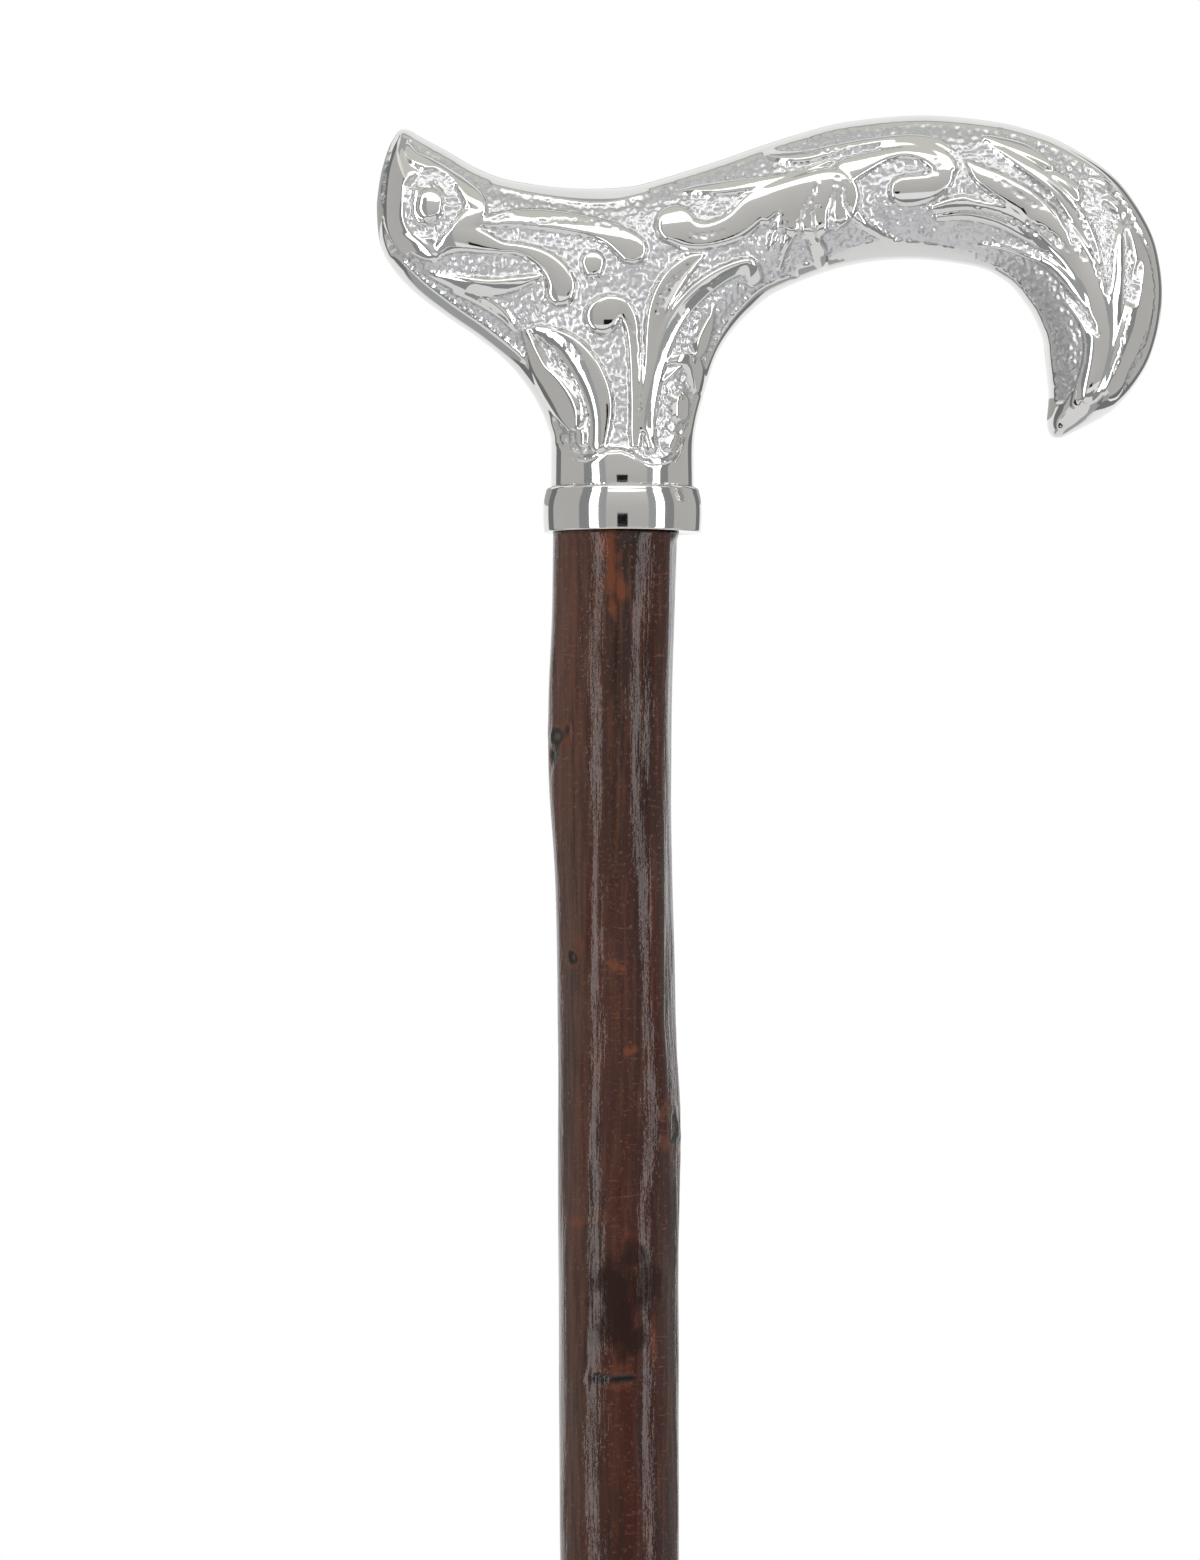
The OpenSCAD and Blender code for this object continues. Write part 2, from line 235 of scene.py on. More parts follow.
# Stippled hollows and grooves cut into the leaves and the plain tail
HOLLOWS_PX = [
    [(389, 152, 1.5), (384.5, 170, 2), (383, 190, 2), (382, 205, 1.5)],
    [(408, 204, 4), (410, 186, 5.5), (420, 179, 6.5), (434, 176, 8), (446, 184, 8), (453, 196, 9),
     (456, 204, 9), (451, 215, 8), (441, 226, 8), (428, 231, 8), (415, 228, 6), (409, 217, 4.5),
     (408, 206, 4)],
    [(492, 221, 2), (505, 217, 3), (513, 213, 1.5)],
    [(520, 226, 1.5), (545, 222, 2.5), (575, 221.5, 2.5), (600, 224, 2), (621, 229, 1)],
    [(562, 341, 0.8), (570, 347, 1.8), (577, 354, 1.4), (582, 360, 0.6)],
    [(626, 314, 0.8), (637, 341, 1.6), (640.5, 368, 1.6), (639.5, 400, 1.4), (638, 420, 0.8)],
    [(690, 262, 0.8), (674, 277, 1.2), (665, 293, 1.8), (659, 305, 1.8), (656, 318, 0.8)],
    [(688, 236, 1.5), (706, 236, 2.5), (724, 231, 1.5)],
    [(781, 211, 1.2), (776, 219, 3), (769, 228, 5), (761, 236, 6)],
    [(786, 221, 1.2), (782, 232, 2.6), (779, 244, 2.8), (777, 258, 2.4)],
    [(818, 185, 1.4), (811, 198, 2.6), (803, 214, 2.8), (799, 225, 3), (799, 234, 4)],
    [(820, 203, 1.2), (814, 213, 2.6), (813, 224, 2.8), (815, 235, 1.8)],
    [(838, 177, 1.4), (834, 192, 2.6), (831, 207, 3.4), (830, 220, 4.5), (832, 234, 7)],
    [(846, 179, 1.2), (843.5, 190, 2.8), (844.5, 203, 2.8), (848, 213, 2.4), (852, 221, 1.2)],
    [(935, 158, 1), (938, 166, 2.5), (935, 174, 1.5)],
    [(803, 153.5, 1), (830, 151, 2), (860, 147, 2), (890, 144, 1)],
    # Tail: between crown and strands, along the strands, and the hollows inside the hook
    [(976, 140, 5), (985, 151, 8), (1010, 169, 6.5), (1034, 185, 5), (1048, 195, 4)],
    [(994, 177, 0.8), (1008, 187, 2), (1026, 200, 2.2), (1042, 211, 0.8)],
    [(1046, 193, 3), (1058, 207, 4), (1067, 226, 3.6), (1075, 247, 2.6), (1085, 263, 1)],
    [(1076, 204, 0.8), (1083, 224, 1.6), (1092, 246, 2), (1097, 266, 2.2), (1102, 290, 0.8)],
    [(1083, 182, 3), (1092, 196, 8), (1101, 211, 7), (1106, 226, 5), (1108, 244, 4.5), (1108, 264, 5),
     (1107, 281, 4), (1105, 297, 1.5)],
    [(1000, 129, 2), (1022, 138, 2), (1035, 144, 4), (1050, 155, 5), (1062, 165, 6), (1072, 172, 4),
     (1085, 178, 3), (1110, 190, 3), (1126, 207, 2.5), (1136, 223, 2)],
    [(1123, 213, 4), (1117, 222, 5), (1112, 235, 4), (1109, 247, 3)],
    [(895, 222, 8), (920, 232, 10), (948, 238, 9), (967, 234, 11), (987, 237, 9), (1006, 241, 5),
     (1026, 249, 4), (1042, 257, 2)],
    [(960, 250, 2), (985, 253, 4), (1005, 258, 6), (1025, 268, 7), (1043, 284, 6), (1052, 300, 8),
     (1060, 322, 12), (1066, 345, 14), (1068, 362, 12), (1068, 378, 8), (1068, 390, 3)],
    [(1062, 292, 2), (1071, 299, 4), (1081, 311, 4.5), (1090, 324, 4), (1097, 335, 2.5)],
    [(1139, 262, 2.5), (1136, 275, 4.5), (1133, 290, 5), (1131, 303, 4)],
    [(1146, 332, 2), (1142, 348, 3), (1136, 362, 3.5), (1129, 376, 3.5), (1124, 388, 1.5)],
    [(1143, 232, 1.2), (1150, 255, 1.2), (1154, 285, 1.2), (1154, 312, 1.2)],
    [(1029, 223, 1.5), (1045, 232, 3), (1060, 245, 3), (1072, 257, 1)],
    [(974, 209.5, 1.5), (990, 213, 2.5), (1010, 220, 2.5), (1030, 231, 2), (1041, 238, 1)],
    [(962, 160, 3), (966, 176, 7), (968, 188, 9), (985, 197, 5), (1003, 203, 2)],
    [(1127, 312, 1.2), (1124, 330, 1.6), (1117, 355, 1.4), (1110, 375, 1)],
]

# Broad swellings under the relief: how far they stand out, and their rows
SWELLS_PX = [
    (0.5, [(1040, 225, 22), (1062, 245, 26), (1082, 275, 27), (1098, 310, 27), (1103, 340, 26),
           (1099, 370, 24), (1087, 402, 16)]),
    (0.6, [(416, 256, 20), (432, 262, 20)]),
    (0.45, [(768, 247, 14), (783, 241, 16), (798, 235, 17), (815, 234, 17), (836, 226, 17),
            (858, 224, 16)]),
]

# The wavy edge where the relief stops above the plain neck
NECK_EDGE_PX = [
    (540, 430), (562, 444), (571, 455), (584, 458), (597, 455), (607, 450), (620, 449), (632, 453),
    (642, 459), (654, 462), (667, 460), (677, 454), (686, 435), (705, 400),
]

# Faces round the collar and the ferrule
COLLAR_FACES = 192
FERRULE_FACES = 128

# Bark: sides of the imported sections, their least radius, and slack in their heights
SHAFT_SIDES = 20
LEAST_BARK_RADIUS = 9.2
SECTION_SLACK = 0.1
LEVEL_SLACK = 0.06
# Steps round a section, between the top sections, and between the others
ROUND_STEPS = 7
TOP_SECTIONS = 15
TOP_STEPS = 24
LOW_STEPS = 6
# Turned tenon and trimmed tip
TENON_RADIUS = 8.0
TIP_RADIUS = 9.0
END_CHAMFER = 1.0
# Ridges, waves and ragged edges: size and height
RIDGE_SIZE = (1.6, 1.6, 16)
RIDGE_HEIGHT = 0.05
WAVE_SIZE = (6, 6, 22)
WAVE_HEIGHT = 0.22
RAGGED_SIZE = (1.5, 1.5, 2.2)
RAGGED = 1.4
# The flat on the right: rows of height, turn from the camera's side, and share of the radius
FLAT_ROWS = [(730, 75, 1.0), (752, 75, 0.93), (768, 75.5, 0.905), (800, 79.5, 0.927), (860, 81, 0.927)]
# Dips on both sides of the top's front: depth, turn, and where they fade
DIP = 0.42
DIP_TURN = 38
DIP_LOW = 785
DIP_HIGH = 812
# A swelling low on the left: height, turn, reach, and where it starts
SWELLING = 0.45
SWELLING_TURN = -43
SWELLING_REACH = 23
SWELLING_TOP = 742
SWELLING_FULL = 730
# Turn of the side whose colour is painted paler, as painted light
PAINTED_LIT_SIDE_TURN = -52
# Heights over which the skin's relief fades at the ferrule and the collar
FOOT_FADE = 3
TOP_FADE = 2
# Marks: x, y, half width and half height
KNOTS_PX = [(558, 737, 17, 10), (675, 1127, 21, 22), (573, 957, 8, 9)]
ROUGH_PX = [
    (634, 1254, 14, 12), (616, 1290, 20, 26), (645, 1285, 22, 24), (618, 1325, 19, 28), (634, 1342, 14, 14),
]
RUST_PX = [
    (607, 545, 9, 20), (611, 575, 8, 20), (621, 588, 8, 12), (613, 607, 4, 11),
    (609, 963, 4, 3), (616, 966, 5, 3), (622, 969, 4, 3), (629, 1052, 4, 3), (636, 1049, 4, 3),
]
FAINT_RUST_PX = [
    (652, 950, 2, 90), (575, 1221, 24, 6), (603, 1217, 6, 9), (627, 1238, 9, 14), (616, 1368, 20, 6),
    (620, 1386, 18, 5), (652, 1340, 5, 30), (577, 942, 10, 8),
]
FAINT_SHARE = 0.44
CRACKS_PX = [(603, 1379, 14, 5), (622, 1378.5, 18, 3), (555, 755, 9, 11)]
# Finding a pixel's place on the bark: rounds, and share of the radius at most
SIGHT_ROUNDS = 3
MOST_ACROSS_SHARE = 0.97
# Heights of the marks, and the hollow heart of a knot
KNOT_HEIGHT = 0.25
HEART_SHARE = 0.6
HEART_DEPTH_SHARE = 2.2
ROUGH_HEIGHT = 0.12
CRACK_DEPTH = 0.35
# Knots of the lower shaft: share of the way up, share of a turn from +X, and half sizes
LOW_KNOT_SHARES = [
    (0.09, 0.36), (0.17, 0.9), (0.26, 0.15), (0.37, 0.62), (0.46, 0.02), (0.55, 0.41), (0.64, 0.78),
    (0.715, 0.28),
]
LOW_KNOT_HALVES = (1.3, 2.4)

# Colours of the bark
BROWN = (0.035, 0.0088, 0.004, 1)
RED_BROWN = (0.054, 0.008, 0.003, 1)
DARK_STREAK = (0.021, 0.007, 0.0045, 1)
# Painted light: a paler tone for one side of the bark, standing in for the light falling on it
PAINTED_LIT_SIDE = (0.1, 0.05, 0.034, 1)
PALE_STREAK = (0.092, 0.031, 0.015, 1)
LENTICEL = (0.17, 0.055, 0.024, 1)
SPECK = (0.17, 0.085, 0.055, 1)
LOW_SHADE = (0.012, 0.005, 0.004, 1)
RUST = (0.135, 0.035, 0.012, 1)
SCAR = (0.02, 0.0085, 0.006, 1)
KNOT_RIM = (0.11, 0.03, 0.013, 1)
KNOT = (0.01, 0.008, 0.007, 1)
KNOT_HEART = (0.075, 0.05, 0.04, 1)
# Painted shade: near black for the shade inside the cracks
CRACK_SHADE = (0.008, 0.005, 0.004, 1)

# Floor and studio
FLOOR_RADIUS = 2000
FLOOR_SIDES = 96
STUDIO_TURN = 7.0
WALL_RADIUS = 1600.0
WALL_LOW = 650.0
CEILING = 2100.0
CARD_STEP = 4
# Colours of the cards
WHITE = (1.0, 1.0, 1.0)
GREY = (1.0, 0.99, 0.96)
COOL = (0.95, 0.98, 1.0)
OLIVE = (1.0, 1.0, 0.93)
# Curved cards: two turns from the camera's side, low and high edges, colour, glow, glow at the foot
FRONT_TURN = 31
FRONT_TOP = 1800.0
MIDDLE_CARDS = [
    ("front_card", -FRONT_TURN, FRONT_TURN, WALL_LOW, FRONT_TOP, GREY, 0.76, 0.54),
    ("front_light", -FRONT_TURN, FRONT_TURN, FRONT_TOP, CEILING, WHITE, 2.0, 2.0),
    ("back_card", 144, 216, 1000.0, 1400.0, GREY, 0.45, 0.45),
]
# Curved cards on either hand: two turns, low edge, colour, glow
SIDE_CARDS = [
    ("inner_card", FRONT_TURN, 42.5, 300, COOL, 0.44),
    ("strip_light", 43, 56, 0, WHITE, 4.5),
    ("outer_card", 56.5, 73, 0, COOL, 0.32),
    ("flank_card", 73, 127, 0, GREY, 0.56),
    ("dark_card", 127, 144, 0, COOL, 0.22),
]
# Level cards by the floor: reach along X and Y, colour, glow
FLOOR_CARD_HEIGHT = 3
FLOOR_CARDS = [
    ("floor_card", 400, 1300, 500, 1500, COOL, 0.45),
    ("dark_floor_card", 600, 1500, -1300, -150, COOL, 0.34),
]
# Level cards overhead: half reach along X, reach along Y, colour, glow
CEILING_CARDS = [
    ("ceiling_light", 1000, -1600, -800, WHITE, 2.0),
    ("ceiling_card", 1300, -800, 150, OLIVE, 0.74),
    ("back_ceiling_card", 1300, 150, 500, COOL, 0.5),
]
# Upright cards: middle and half size along X, distance, low and high edges, colour, glow
CAMERA_HALF_HIGH = 42.0
UPRIGHT_CARDS = [
    ("low_card", 0, 270, 400.0, 540, 715, COOL, 0.3),
    ("camera_card", VIEW_X, 105.0, CAMERA_DISTANCE, VIEW_Z - CAMERA_HALF_HIGH, VIEW_Z + CAMERA_HALF_HIGH,
     COOL, 0.01),
]


def smooth_curve(points, steps, closed=False):
    """Points along a smooth curve through the given ones, with so many steps from one to the next."""
    p = np.asarray(points, float)
    if closed:
        p = np.concatenate([p[-1:], p, p[:2]])
    else:
        p = np.concatenate([2 * p[:1] - p[1:2], p, 2 * p[-1:] - p[-2:-1]])
    f = (np.arange(steps) / steps)[None, :, None]
    a, b, c, d = (q[:, None, :] for q in (p[:-3], p[1:-2], p[2:-1], p[3:]))
    bend = 2 * a - 5 * b + 4 * c - d
    twist = 3 * b - a - 3 * c + d
    spans = b + (c - a) * f / 2 + bend * f**2 / 2 + twist * f**3 / 2
    curve = spans.reshape(-1, p.shape[1])
    return curve if closed else np.concatenate([curve, p[-2:-1]])


def ease(low, high, value):
    """Smooth step from 0 at low to 1 at high."""
    t = np.clip((value - low) / (high - low), 0, 1)
    return t * t * (3 - 2 * t)


def soften(values, width):
    """Gaussian blur of a 2-D array, by a width in cells."""
    rows = np.fft.fftfreq(values.shape[0])[:, None]
    columns = np.fft.rfftfreq(values.shape[1])[None, :]
    keep = np.exp(-2 * (math.pi * width) ** 2 * (rows**2 + columns**2))
    return np.fft.irfft2(np.fft.rfft2(values) * keep, values.shape)


def on_stick(px, py):
    """Place of a pixel in the handle's side view, from the middle of its seat."""
    return (px - AXIS_PX) / PX_PER_MM, (SEAT_PX - py) / PX_PER_MM


class Grid:
    """A 2-D array over a plane, read between its points with smooth cubic weights."""

    def __init__(self, low, step, values):
        self.low = np.asarray(low, float)
        self.step = step
        self.values = values

    def read(self, x, y):
        """Value and slopes at the places x, y."""
        total = [0.0, 0.0, 0.0]
        places = []
        for place, low, size in zip((x, y), self.low, self.values.shape):
            cell = np.clip((place - low) / self.step, 1, size - 3)
            i = np.floor(cell).astype(int)
            f = cell - i
            inner = [(3 * f**3 - 6 * f**2 + 4) / 6, (1 + 3 * f + 3 * f**2 - 3 * f**3) / 6]
            weights = [(1 - f) ** 3 / 6, *inner, f**3 / 6]
            slopes = [-((1 - f) ** 2) / 2, (3 * f**2 - 4 * f) / 2, (1 + 2 * f - 3 * f**2) / 2, f**2 / 2]
            places.append((i, weights, slopes))
        (i, wx, sx), (j, wy, sy) = places
        for a, b in np.ndindex(4, 4):
            v = self.values[i + a - 1, j + b - 1]
            total[0] = total[0] + v * wx[a] * wy[b]
            total[1] = total[1] + v * sx[a] * wy[b] / self.step
            total[2] = total[2] + v * wx[a] * sy[b] / self.step
        return total


def outline_depth(outline, x, z):
    """Distance of each point from a closed outline, positive inside it."""
    nearest = np.full(x.shape, np.inf)
    inside = np.zeros(x.shape, bool)
    for (ax, az), (bx, bz) in zip(outline, np.roll(outline, -1, 0)):
        dx, dz = bx - ax, bz - az
        t = np.clip(((x - ax) * dx + (z - az) * dz) / (dx * dx + dz * dz), 0, 1)
        nearest = np.minimum(nearest, (x - ax - t * dx) ** 2 + (z - az - t * dz) ** 2)
        if az != bz:
            inside ^= ((az > z) != (bz > z)) & (x < ax + (z - az) * dx / dz)
    return np.sqrt(nearest) * np.where(inside, 1, -1)


def blown_film(depth, step, pressure):
    """Height of a film blown up over the outline: 0 on it, with a Laplacian of -pressure inside it."""
    inside = depth > 0
    diagonal = np.where(inside, 0.0, 1.0)
    links = []
    for axis, shift in ((0, 1), (0, -1), (1, 1), (1, -1)):
        beside = np.roll(depth, shift, axis)
        linked = inside & (beside > 0)
        cut = inside & (beside <= 0)
        # The film hangs free at the seat, the first row
        if (axis, shift) == (1, 1):
            linked[:, 0] = False
            cut[:, 0] = False
        reach = np.clip(depth / np.where(cut, depth - beside, 1), 0.05, 1)
        diagonal += linked + cut / reach
        links.append((linked, axis, shift))

    def spread(film):
        return diagonal * film - sum(linked * np.roll(film, shift, axis) for linked, axis, shift in links)

    film = np.zeros(depth.shape)
    rest = np.where(inside, pressure * step * step, 0.0)
    aim = rest / diagonal
    weight = (rest * aim).sum()
    for _ in range(FILM_ROUNDS):
        spread_aim = spread(aim)
        pace = weight / (aim * spread_aim).sum()
        film += pace * aim
        rest = rest - pace * spread_aim
        eased = rest / diagonal
        new_weight = (rest * eased).sum()
        if new_weight < 1e-16:
            break
        aim = eased + new_weight / weight * aim
        weight = new_weight
    return film


def handle_fields():
    """The squared half thickness of the handle and the depth inside its outline, over its side view."""
    outline = np.stack(on_stick(*smooth_curve(OUTLINE_PX, OUTLINE_STEPS, closed=True).T), 1)
    low = np.array([outline[:, 0].min() - SPARE_CELLS * HANDLE_STEP, -HANDLE_STEP / 2])
    high = outline.max(0) + SPARE_CELLS * HANDLE_STEP
    counts = np.ceil((high - low) / HANDLE_STEP).astype(int) + 1
    x, z = np.meshgrid(*(low[k] + HANDLE_STEP * np.arange(counts[k]) for k in (0, 1)), indexing="ij")
    depth = outline_depth(outline, x, z)
    pressure = np.ones(x.shape)
    for px, py, fullness, reach in FULLER_PX:
        at_x, at_z = on_stick(px, py)
        apart = np.hypot(x - at_x, z - at_z)
        pressure += fullness * np.exp(-((apart * PX_PER_MM / reach) ** 2))
    film = blown_film(depth, HANDLE_STEP, pressure)
    # Near the outline the film is steep and even, so there it follows the depth itself
    steady = (depth > STEADY_LOW) & (depth < STEADY_HIGH)
    slope = np.where(steady, film / np.where(steady, depth, 1) + depth / 2, 0)
    blur = STEADY_BLUR / HANDLE_STEP
    slope = soften(slope, blur) / np.maximum(soften(steady.astype(float), blur), 1e-9)
    edge = np.where(depth > 0, slope * depth - depth**2 / 2, slope * depth)
    squared = 2 * (edge + (film - edge) * ease(STEADY_LOW, STEADY_END, depth))
    limit = (GRIP_HALF + NECK_SPARE * (1 - ease(0, NECK_SPARE_HIGH, z))) ** 2
    squared = squared / (1 + (np.maximum(squared, 0) / limit) ** LIMIT_BEND) ** (1 / LIMIT_BEND)
    squared *= 1 - SEAT_TUCK_SHARE * np.clip(1 - z / SEAT_TUCK_HIGH, 0, 1) ** 2
    return Grid(low, HANDLE_STEP, squared), Grid(low, HANDLE_STEP, depth)


def carved(height, cut):
    """The relief with a cut taken off it, no deeper than the ground."""
    return np.maximum(height - cut, np.minimum(height, -GROUND_DEPTH))


def bowl(out):
    """Share of its depth that a hollow's disc has, some way out from its middle."""
    return 1 - ease(HOLLOW_SHARE, 1, out)


def relief_field(depth):
    """Height of the relief over the handle's base surface, and its plain cover, over the photograph."""
    axes = (low + np.arange(count) for low, count in zip(RELIEF_LOW_PX, RELIEF_SIZE_PX))
    x, y = np.meshgrid(*axes, indexing="ij")
    edge = depth.read(*on_stick(x, y))[0] * PX_PER_MM
    plain = 1 - ease(RIM_PX, RIM_PX + SHOULDER_PX, edge)
    border = smooth_curve(NECK_EDGE_PX, NECK_EDGE_STEPS)
    plain = np.maximum(plain, ease(0, SHOULDER_PX, y - np.interp(x, border[:, 0], border[:, 1])))
    height = -GROUND_DEPTH * (1 - plain)
    cover = plain.copy()
    inwards = np.gradient(soften(edge, LEAN_BLUR_PX))

    def discs(rows):
        """Discs along a stroke: their windows, half widths and squared shares of the way to their edges."""
        for cx, cy, half in smooth_curve(rows, STROKE_STEPS):
            reach = DISC_SHARE * half + DISC_SPARE_PX
            window = tuple(
                slice(max(int(c - reach - low), 0), max(int(c + reach - low) + 2, 0))
                for c, low in zip((cx, cy), RELIEF_LOW_PX)
            )
            yield window, half, ((x[window] - cx) ** 2 + (y[window] - cy) ** 2) / half**2

    def stroke(rows, level):
        """The highest level that a stroke's discs reach at each place."""
        field = np.zeros(RELIEF_SIZE_PX)
        for window, half, out in discs(rows):
            field[window] = np.maximum(field[window], level(half, out))
        return field

    for rows in PLAINS_PX:
        level = stroke(rows, lambda half, out: 1 - ease(PLAIN_SHARE, 1, out))
        height = np.maximum(height, GROUND_DEPTH * (level - 1))
        cover = np.maximum(cover, level)
    lip = [(lip_x, lip_y - LIP_RAISE_PX, LIP_PX) for lip_x, lip_y in NECK_EDGE_PX]
    for rows in LEAVES_PX + [lip]:
        for window, half, out in discs(rows):
            inward = np.clip(half * (1 - np.sqrt(out)) / (EDGE_PX + EDGE_SHARE * half), 0, 1)
            middle = tuple((part.start + part.stop) // 2 for part in window)
            lean = [LEAN_SHARE * half * way[middle] for way in inwards]
            off = (x[window] - x[middle] - lean[0]) ** 2 + (y[window] - y[middle] - lean[1]) ** 2
            dome = DOME_SHARE * half / PX_PER_MM * np.clip(1 - off / (half + LEAN_SHARE * half) ** 2, 0, 1)
            lift = (GROUND_DEPTH * min(half / FULL_LEAF_PX, 1) + dome) * np.sqrt(inward * (2 - inward))
            height[window] = np.maximum(height[window], lift - GROUND_DEPTH)
            cover[window] = np.maximum(cover[window], 1 - ease(*COVER_SHARES, out))
    for bevel, rows in BEVELS_PX:
        height = carved(height, bevel * stroke(rows, lambda half, out: np.clip(1 - out, 0, 1)))
    for rows in HOLLOWS_PX:
        cut = stroke(rows, lambda half, out: bowl(out) * min(half / FULL_HOLLOW_PX, 1) ** 3)
        height = carved(height, GROUND_DEPTH * cut)
        cover *= 1 - stroke(rows, lambda half, out: bowl(out))
    for swell, rows in SWELLS_PX:
        rise = swell * stroke(rows, lambda half, out: np.clip(1 - out, 0, 1) ** 2)
        height += soften(rise, SWELL_BLUR_PX)
    height = soften(height, RELIEF_BLUR_PX)
    grain = np.random.default_rng(SEED).standard_normal(RELIEF_SIZE_PX)
    grain = soften(grain, GRAIN_PX) - soften(grain, 2 * GRAIN_PX)
    height += STIPPLE_HEIGHT * grain / grain.std() * (1 - cover)
    return Grid(RELIEF_LOW_PX, 1.0, height), Grid(RELIEF_LOW_PX, 1.0, cover)


def surface_net(values):
    """Points, in cells, and quads of the surface between the positive and the negative of a 3-D array."""
    inside = values > 0
    size = np.array(values.shape) - 1
    corners = [np.array(c) for c in np.ndindex(2, 2, 2)]
    count = np.zeros(size, np.int8)
    for corner in corners:
        count += inside[tuple(slice(c, c + s) for c, s in zip(corner, size))]
    cells = np.argwhere((count > 0) & (count < 8))
    number = np.full(size, -1)
    number[tuple(cells.T)] = np.arange(len(cells))
    total = np.zeros((len(cells), 3))
    crossings = np.zeros(len(cells))
    for corner in corners:
        for axis in np.flatnonzero(corner == 0):
            step = np.eye(3, dtype=int)[axis]
            near = values[tuple((cells + corner).T)]
            far = values[tuple((cells + corner + step).T)]
            cut = (near > 0) != (far > 0)
            share = near / np.where(cut, near - far, 1)
            total += np.where(cut[:, None], corner + share[:, None] * step, 0)
            crossings += cut
    points = cells + total / crossings[:, None]
    quads = []
    for axis in range(3):
        across, up = np.eye(3, dtype=int)[[(axis + 1) % 3, (axis + 2) % 3]]
        near = np.delete(inside, -1, axis)
        far = np.delete(inside, 0, axis)
        edges = np.argwhere(near != far)
        leaving = near[tuple(edges.T)]
        ring = [number[tuple((edges - back).T)] for back in (across + up, up, 0 * up, across)]
        quads.append(np.where(leaving[:, None], np.stack(ring, 1), np.stack(ring[::-1], 1)))
    return points, np.concatenate(quads)


def new_mesh(name, points, faces, material):
    """Smooth-shaded mesh object from points in millimetres."""
    mesh = bpy.data.meshes.new(name)
    mesh.from_pydata((np.asarray(points) * MM).tolist(), [], faces)
    mesh.polygons.foreach_set("use_smooth", np.ones(len(mesh.polygons), bool))
    mesh.materials.append(material)
    mesh.update()
    piece = bpy.data.objects.new(name, mesh)
    bpy.context.scene.collection.objects.link(piece)
    return piece


def ring_quads(count, around, closed=False):
    """Quads from each ring of points to the next, and from the last to the first if they close."""
    i, k = np.meshgrid(np.arange(count if closed else count - 1), np.arange(around), indexing="ij")
    after = (i + 1) % count
    beside = (k + 1) % around
    corners = [i * around + k, i * around + beside, after * around + beside, after * around + k]
    return np.stack(corners, 2).reshape(-1, 4).tolist()


def paint(piece, name, values):
    """Stores one number for each point of a piece, for its material to read."""
    layer = piece.data.attributes.new(name, "FLOAT", "POINT")
    layer.data.foreach_set("value", np.asarray(values, np.float32))


def place(piece, node, slot):
    """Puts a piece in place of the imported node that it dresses."""
    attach(piece, "root")
    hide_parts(node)


def make_handle(material):
    """Cast handle: a body blown up from its outline, with its socket, and the relief on both sides."""
    squared, depth = handle_fields()
    relief, cover = relief_field(depth)
    half_count = int((GRIP_HALF + NECK_SPARE) / HANDLE_STEP) + SPARE_CELLS
    y = HANDLE_STEP * (np.arange(2 * half_count) - half_count + 0.5)
    x, z = (squared.low[k] + HANDLE_STEP * np.arange(squared.values.shape[k]) for k in (0, 1))
    body = squared.values[:, None, :] - y[None, :, None] ** 2
    radius = np.hypot(x[:, None], y[None, :])[:, :, None]
    socket = np.minimum(SOCKET_RADIUS - radius, SOCKET_TOP - z)
    stud_hole = np.minimum(STUD_HOLE_RADIUS - radius, STUD_HOLE_TOP - z)
    body = np.minimum(body, -np.maximum(socket, stud_hole))
    body[:, :, 0] = -np.abs(body[:, :, 1])
    points, quads = surface_net(body)
    points = points * HANDLE_STEP + (x[0], y[0], z[0])
    seated = points[:, 2] < HANDLE_STEP / 2
    points[seated, 2] = 0

    def gap(at):
        """How far inside the body each point is, squared, and the slope of that."""
        value, along, up = squared.read(at[:, 0], at[:, 2])
        slope = np.stack([along, -2 * at[:, 1], up], 1)
        return value - at[:, 1] ** 2, slope

    hollow = np.hypot(points[:, 0], points[:, 1]) < SOCKET_RADIUS + HANDLE_STEP
    hollow &= points[:, 2] < STUD_HOLE_TOP + HANDLE_STEP
    skin = ~((hollow | seated) & (gap(points)[0] > SOCKET_DEPTH))
    edges = np.concatenate([quads[:, [k, (k + 1) % 4]] for k in range(4)])
    degree = np.bincount(edges[:, 0], minlength=len(points))
    # The points spread evenly over the skin, and are drawn back onto it
    for _ in range(RELAX_ROUNDS):
        sums = [np.bincount(edges[:, 0], points[edges[:, 1], k], len(points)) for k in range(3)]
        moved = points + 0.5 * (np.stack([s / degree for s in sums], 1) - points)
        moved[seated, 2] = 0
        for _ in range(SEEK_ROUNDS):
            value, slope = gap(moved)
            slope[seated, 2] = 0
            moved -= (value / np.maximum((slope**2).sum(1), 1e-3))[:, None] * slope
        points = np.where(skin[:, None], moved, points)
    slope = gap(points)[1]
    slope[seated, 2] = 0
    outward = -slope / np.linalg.norm(slope, axis=1)[:, None]
    # The relief is read where the camera sees it, so its leaves fall on the photograph's
    nearer = PX_PER_MM * CAMERA_DISTANCE / (CAMERA_DISTANCE - np.abs(points[:, 1]))
    seen_x = PHOTO_WIDE_PX / 2 + (points[:, 0] - VIEW_X) * nearer
    seen_y = PHOTO_HIGH_PX / 2 - (points[:, 2] + SEAT - VIEW_Z) * nearer
    lift = np.where(skin, relief.read(seen_x, seen_y)[0], 0)
    ground = np.where(skin, 1 - cover.read(seen_x, seen_y)[0], 0)
    points = points + outward * lift[:, None]
    piece = new_mesh("handle_relief", points + (0, 0, SEAT), quads.tolist(), material)
    paint(piece, "ground", np.clip(ground, 0, 1))
    place(piece, "handle", "plated")


